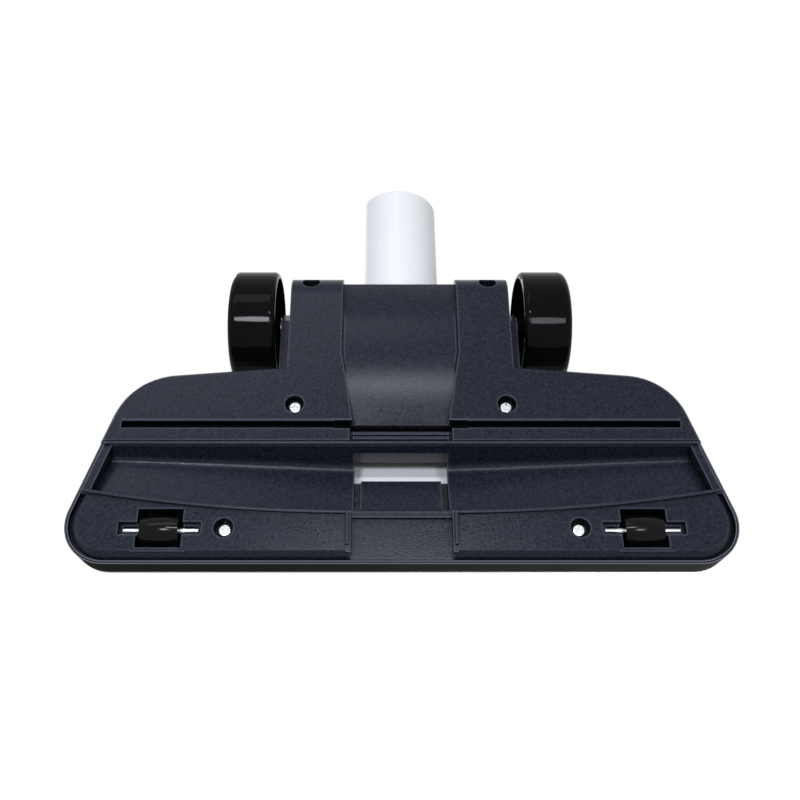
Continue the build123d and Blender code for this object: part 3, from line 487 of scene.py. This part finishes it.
def mesh_piece(
    name: str, points: np.ndarray, faces: list[list[int]], smooth: bool = True
) -> bpy.types.Object:
    """Put arrays of points and faces into a new object at the origin.

    Args:
        name: piece name.
        points: N by 3 array, metres, in the head's frame.
        faces: point numbers of each face.
        smooth: whether faces are shaded smooth.

    Returns:
        The new object.
    """
    mesh = bpy.data.meshes.new(name)
    mesh.from_pydata(points.tolist(), [], faces)
    mesh.polygons.foreach_set("use_smooth", np.full(len(faces), smooth))
    mesh.update()
    piece = bpy.data.objects.new(name, mesh)
    bpy.context.collection.objects.link(piece)
    return piece


def tube_faces(rings: int, wide: int, first: int = 0) -> list[list[int]]:
    """Faces of a closed tube whose rings of points follow each other.

    Each side face joins a point, the same point of the next ring and the neighbours of both.
    One more face closes each end. They point outwards where the rings run anticlockwise for an
    eye that looks along the tube from its first ring to its last.

    Args:
        rings: number of rings.
        wide: points in a ring.
        first: number of the tube's first point.

    Returns:
        Point numbers of each face.
    """
    ring, place = np.meshgrid(np.arange(rings - 1), np.arange(wide), indexing="ij")
    near, beside = first + ring * wide + place, first + ring * wide + (place + 1) % wide
    sides = np.stack([near, near + wide, beside + wide, beside], 2).reshape(-1, 4)
    start = first + np.arange(wide)
    end = start[::-1] + (rings - 1) * wide
    return [*sides.tolist(), start.tolist(), end.tolist()]


def dress(frame: dict, finish: bpy.types.Material, *nodes: str) -> None:
    """Give one finish to some CAD nodes.

    Args:
        frame: the loaded frame.
        finish: material to assign.
        nodes: node names.
    """
    for node in nodes:
        shown = frame["nodes"][node]
        shown.data.materials.clear()
        shown.data.materials.append(finish)
        LOG.info("dressed %s in %s", node, finish.name)


@dataclass
class Moulding:
    """Pieces that only take a finish."""

    finish: Finish
    nodes: tuple[str, ...]

    def dress(self, frame: dict) -> None:
        """Dress every node of the group in its finish."""
        dress(frame, self.finish.build(), *self.nodes)


@dataclass
class Brush:
    """Bar with its bristles, which stand for the plain strip."""

    bar_node: str = "brush_bar"
    strip_node: str = "bristle_strip"
    body: str = "brush"
    pitch_mm: float = 0.5
    rows: int = 3
    radius_mm: float = 0.13
    sides: int = 4
    splay_mm: float = 0.16
    jag_mm: float = 0.25
    seed: int = 7

    def bristles(self) -> bpy.types.Object:
        """Make the bristles as slim square prisms.

        Roots stand on a grid of rows and pitches inside the strip's box. Each prism runs from
        its root down to the strip's lower face, with its tip moved sideways by the splay and
        cut shorter by the jag, both drawn from a seeded generator.

        Returns:
            The bristle piece.
        """
        low, high = (np.array(corner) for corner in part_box(self.strip_node))
        draw = np.random.default_rng(self.seed)
        pitch, edge = self.pitch_mm * MM, 2.0 * self.radius_mm * MM
        along = np.arange(low[0] + pitch, high[0] - pitch, pitch)
        across = np.linspace(low[1] + edge, high[1] - edge, self.rows)
        roots = np.stack(np.meshgrid(along, across, indexing="ij"), 2).reshape(-1, 2)
        count = len(roots)
        tips = roots + draw.normal(0.0, self.splay_mm * MM, (count, 2))
        tips[:, 1] = np.clip(tips[:, 1], low[1] + edge, high[1] - edge)
        tip_z = low[2] + np.abs(draw.normal(0.0, self.jag_mm * MM, count))
        turn = np.arange(self.sides) * 2.0 * math.pi / self.sides
        ring = self.radius_mm * MM * np.stack([np.cos(turn), np.sin(turn)], 1)
        points = np.empty((count, 2, self.sides, 3))
        points[:, 0, :, :2] = roots[:, None, :] + ring
        points[:, 0, :, 2] = high[2]
        points[:, 1, :, :2] = tips[:, None, :] + ring
        points[:, 1, :, 2] = tip_z[:, None]
        prism = np.array(tube_faces(2, self.sides))
        faces = np.arange(count)[:, None, None] * 2 * self.sides + prism
        return mesh_piece(
            "bristles",
            points.reshape(-1, 3),
            faces.reshape(-1, self.sides).tolist(),
            smooth=False,
        )

    def dress(self, frame: dict) -> None:
        """Dress the bar and put the bristles in it.

        Args:
            frame: the loaded frame.
        """
        dress(frame, BAR_PP.build(), self.bar_node)
        bristles = self.bristles()
        bristles.data.materials.append(BRISTLE_NYLON.build())
        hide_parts(self.strip_node)
        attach(bristles, self.body)
        LOG.info("made bristles with %d faces", len(bristles.data.polygons))


@dataclass
class ReturnSpring:
    """Coil spring between the sole and one lug of the bar."""

    node: str
    body: str = "head"
    joint: str = "brush_drop"
    turns: int = 5
    steps: int = 24
    wire_mm: float = 0.35
    wire_points: int = 8
    drop_mm: float = 4.0
    clear_mm: float = 0.1

    def coil(self) -> bpy.types.Object:
        """Make the coil inside the node's box.

        The wire's middle turns evenly about the spring's axis while it climbs evenly from seat
        to seat, and a circle of the wire's radius is carried along it, in the plane of the
        outward direction and of the one square to it and to the wire.

        Returns:
            The coil.
        """
        low, high = (np.array(corner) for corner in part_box(self.node))
        wire = self.wire_mm * MM
        radius = 0.5 * (high[0] - low[0]) - wire
        climb = high[2] - low[2] - 2.0 * wire
        share = np.linspace(0.0, 1.0, self.turns * self.steps + 1)
        angle = 2.0 * math.pi * self.turns * share
        lean = math.atan2(climb, 2.0 * math.pi * self.turns * radius)
        level = np.zeros_like(angle)
        outward = np.stack([np.cos(angle), np.sin(angle), level], 1)
        square = np.stack([np.sin(angle), -np.cos(angle), level], 1) * math.sin(lean)
        square[:, 2] = math.cos(lean)
        middle = 0.5 * (low + high) + radius * outward
        middle[:, 2] = low[2] + wire + climb * share
        turn = (np.arange(self.wire_points) * 2.0 * math.pi / self.wire_points)[None, :, None]
        ring = np.cos(turn) * outward[:, None, :] + np.sin(turn) * square[:, None, :]
        points = (middle[:, None, :] + wire * ring).reshape(-1, 3)
        return mesh_piece(f"{self.node}_coil", points, tube_faces(len(share), self.wire_points))

    def dress(self, frame: dict) -> None:
        """Put the coil in place of the plain one.

        Args:
            frame: the loaded frame, which holds nothing that a spring needs.
        """
        coil = self.coil()
        coil.data.materials.append(STEEL.build())
        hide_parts(self.node)
        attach(coil, self.body)
        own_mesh(coil)
        LOG.info("made %s with %d faces", coil.name, len(coil.data.polygons))


@dataclass
class Pedal:
    """Foot pedal with raised grip ribs."""

    node: str = "pedal"
    body: str = "foot_pedal"
    ribs: int = 5
    rib_width_mm: float = 1.6
    rib_height_mm: float = 0.6
    rib_steps: int = 24
    rib_points: int = 9
    end_share: float = 0.02
    margin_mm: float = 5.0
    sunk_mm: float = 0.25
    probe_mm: float = 50.0

    def grip_ribs(self, frame: dict) -> bpy.types.Object:
        """Make the ribs on the pedal's top face.

        Each rib is a half-round carried along X: the angle runs over half a turn, half the
        width and the height are the half axes, and both ends taper to the end share over the
        rib's width. A ray from above finds the pedal's face below the rib, which leans with
        that face and is sunk a little into it.

        Args:
            frame: the loaded frame.

        Returns:
            The piece with all ribs.
        """
        low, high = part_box(self.node)
        width, margin, sunk = self.rib_width_mm * MM, self.margin_mm * MM, self.sunk_mm * MM
        height = (self.rib_height_mm + self.sunk_mm) * MM
        shown = frame["nodes"][self.node]
        solid = BVHTree.FromObject(shown, bpy.context.evaluated_depsgraph_get())
        places = np.linspace(low[1] + margin, high[1] - margin, self.ribs)
        reach = high[0] - margin
        straight = np.linspace(-reach + width, reach - width, self.rib_steps)
        along = np.concatenate([[-reach], straight, [reach]])
        taper = np.clip((reach - np.abs(along)) / width, self.end_share, 1.0)
        angle = np.linspace(math.pi, 0.0, self.rib_points)
        x = np.repeat(along[:, None], len(angle), 1)
        across = 0.5 * width * np.outer(taper, np.cos(angle))
        up = height * np.outer(taper, np.sin(angle)) - sunk
        points, faces = [], []
        for number, place in enumerate(places):
            above = Vector((0.0, place, high[2] + self.probe_mm * MM))
            spot, facing, _, _ = solid.ray_cast(above, Vector((0.0, 0.0, -1.0)))
            slope = math.atan2(-facing.y, facing.z)
            y = place + across * math.cos(slope) - up * math.sin(slope)
            z = spot.z + across * math.sin(slope) + up * math.cos(slope)
            points.append(np.stack([x, y, z], 2).reshape(-1, 3))
            faces += tube_faces(len(along), len(angle), number * x.size)
        return mesh_piece("pedal_grip_ribs", np.concatenate(points), faces)

    def dress(self, frame: dict) -> None:
        """Dress the pedal and set its ribs on it.

        Args:
            frame: the loaded frame.
        """
        finish = PEDAL_ABS.build()
        dress(frame, finish, self.node)
        ribs = self.grip_ribs(frame)
        ribs.data.materials.append(finish)
        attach(ribs, self.body)
        LOG.info("made pedal ribs with %d faces", len(ribs.data.polygons))


@dataclass(frozen=True)
class Lamp:
    """One soft box: place and aim in metres, sides in metres, power in watts."""

    name: str
    place: tuple[float, float, float]
    sides: tuple[float, float]
    power: float
    colour: str = "#ffffff"
    aim: tuple[float, float, float] = (0.0, 0.0, 0.0)

    def light(self) -> None:
        """Hang the lamp in the scene."""
        data = bpy.data.lights.new(self.name, "AREA")
        data.shape = "RECTANGLE"
        data.size, data.size_y = self.sides
        data.energy = self.power
        data.color = linear(self.colour)[:3]
        lamp = bpy.data.objects.new(self.name, data)
        lamp.location = self.place
        towards = Vector(self.aim) - Vector(self.place)
        lamp.rotation_euler = towards.to_track_quat("-Z", "Y").to_euler()
        lamp.visible_camera = False
        bpy.context.collection.objects.link(lamp)


# Daylight on the sole, which the photo looks up at: the floor lets it through from below.
DAYLIGHT = "#f2f5ff"
SOLE_LAMPS = (
    Lamp("left_window", place=(0.2, -0.18, -0.97), sides=(0.14, 0.12), power=3.4, colour=DAYLIGHT),
    Lamp(
        "right_window", place=(-0.24, -0.23, -0.95), sides=(0.16, 0.16), power=1.8, colour=DAYLIGHT
    ),
    Lamp("ceiling_tube", place=(0.0, 0.085, -1.0), sides=(0.3, 0.05), power=3.2, colour=DAYLIGHT),
    Lamp("rear_panel", place=(0.3, 0.65, -1.0), sides=(0.8, 0.35), power=2.4, colour=DAYLIGHT),
)
# Soft boxes above the floor, for the cover in the other views.
COVER_LAMPS = (
    Lamp("top_box", place=(-0.5, -0.6, 1.1), sides=(0.9, 0.9), power=9.0),
    Lamp("rear_box", place=(0.7, 0.8, 0.8), sides=(0.6, 0.6), power=5.5, aim=(0.0, 0.0, 0.02)),
)


@dataclass
class Studio:
    """Pale floor, white surround, lamps on both sides of the floor, and the photo's camera.

    Lengths are in metres where their names don't say millimetres.
    """

    floor_half: float = 3.0
    floor_colour: str = "#f4f5f5"
    floor_near: float = 0.25
    floor_far: float = 1.1
    world_colour: str = "#ffffff"
    fill: float = 0.2
    sensor_mm: float = 36.0
    lens_mm: float = 40.5
    shift_x: float = 0.02125
    clip_start: float = 0.01
    camera_place: tuple[float, float, float] = (0.0075, -0.19235, -0.341)
    elevation_deg: float = 64.0
    lamps: tuple[Lamp, ...] = SOLE_LAMPS + COVER_LAMPS

    def floor(self) -> None:
        """Lay the floor, which is seen from above only, and fades out far from the head.

        It shows to the camera alone, so it shades nothing and holds no light back.
        """
        square = np.array([[-1, -1, 0], [1, -1, 0], [1, 1, 0], [-1, 1, 0]], float)
        floor = mesh_piece("floor", square * self.floor_half, [[0, 1, 2, 3]], smooth=False)
        material = bpy.data.materials.new("floor_paper")
        material.use_nodes = True
        tree = material.node_tree
        tree.nodes.clear()
        back = put(tree, "ShaderNodeNewGeometry").outputs["Backfacing"]
        place = put(tree, "ShaderNodeTexCoord").outputs["Object"]
        reach = put(
            tree, "ShaderNodeVectorMath", {"operation": "LENGTH"}, in_0=place
        ).outputs["Value"]
        fade = put(
            tree,
            "ShaderNodeMapRange",
            {"interpolation_type": "SMOOTHSTEP"},
            Value=reach,
            From_Min=self.floor_near,
            From_Max=self.floor_far,
        ).outputs[0]
        gone = put(
            tree, "ShaderNodeMath", {"operation": "MAXIMUM"}, in_0=back, in_1=fade
        ).outputs[0]
        paper = put(tree, "ShaderNodeBsdfDiffuse", Color=linear(self.floor_colour)).outputs[0]
        clear = put(tree, "ShaderNodeBsdfTransparent").outputs[0]
        seen = put(tree, "ShaderNodeMixShader", Fac=gone, in_1=paper, in_2=clear).outputs[0]
        put(tree, "ShaderNodeOutputMaterial", Surface=seen)
        floor.data.materials.append(material)
        floor.visible_diffuse = False
        floor.visible_glossy = False
        floor.visible_transmission = False
        floor.visible_shadow = False

    def surround(self) -> None:
        """Set the world: white to the eye and in reflections, softer as light."""
        world = bpy.data.worlds.new("studio")
        bpy.context.scene.world = world
        world.use_nodes = True
        tree = world.node_tree
        tree.nodes.clear()
        path = put(tree, "ShaderNodeLightPath").outputs
        mirrored = put(
            tree,
            "ShaderNodeMath",
            {"operation": "MAXIMUM"},
            in_0=path["Is Glossy Ray"],
            in_1=path["Is Transmission Ray"],
        ).outputs[0]
        seen = put(
            tree,
            "ShaderNodeMath",
            {"operation": "MAXIMUM"},
            in_0=path["Is Camera Ray"],
            in_1=mirrored,
        ).outputs[0]
        strength = put(
            tree, "ShaderNodeMapRange", Value=seen, To_Min=self.fill, To_Max=1.0
        ).outputs[0]
        sky = put(
            tree, "ShaderNodeBackground", Color=linear(self.world_colour), Strength=strength
        ).outputs[0]
        put(tree, "ShaderNodeOutputWorld", Surface=sky)

    def camera(self) -> None:
        """Set the camera where the photo was taken: below the floor, looking up at the sole."""
        data = bpy.data.cameras.new("photo_camera")
        data.sensor_width = self.sensor_mm
        data.lens = self.lens_mm
        data.shift_x = self.shift_x
        data.clip_start = self.clip_start
        camera = bpy.data.objects.new("photo_camera", data)
        elevation = math.radians(self.elevation_deg)
        rise, reach = math.sin(elevation), math.cos(elevation)
        right, up, back = Vector((-1, 0, 0)), Vector((0, rise, -reach)), Vector((0, -reach, -rise))
        turn = Matrix((right, up, back)).transposed().to_4x4()
        camera.matrix_world = Matrix.Translation(self.camera_place) @ turn
        bpy.context.collection.objects.link(camera)
        bpy.context.scene.camera = camera

    def build(self) -> None:
        """Set up the whole studio."""
        bpy.context.scene.view_settings.view_transform = "Standard"
        self.floor()
        self.surround()
        self.camera()
        for lamp in self.lamps:
            lamp.light()


def pair(*stems: str) -> tuple[str, ...]:
    """Left and right node names for each stem."""
    return tuple(f"{stem}_{side}" for stem in stems for side in ("left", "right"))


def main() -> None:
    """Load the frame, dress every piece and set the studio."""
    logging.basicConfig(level=logging.INFO, format="%(name)s: %(message)s")
    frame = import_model()
    for group in (
        Moulding(SOLE_ABS, ("base_shell",)),
        Moulding(WHITE_ABS, ("top_cover", "neck")),
        Moulding(BUMPER_RUBBER, ("bumper_strip",)),
        Moulding(WHEEL_PS, pair("wheel")),
        Moulding(ROLLER_POM, pair("roller")),
        Moulding(
            STEEL,
            pair("wheel_axle", "axle_clip", "roller_pin", "screw_front", "screw_rear", "screw_tail")
            + ("pedal_pin",),
        ),
        Moulding(FOAM, ("duct_gasket",)),
        Moulding(FELT, ("drum_seal_upper", "drum_seal_lower")),
        Brush(),
        *(ReturnSpring(node) for node in pair("return_spring")),
        Pedal(),
    ):
        group.dress(frame)
    Studio().build()


if __name__ == "__main__":
    main()
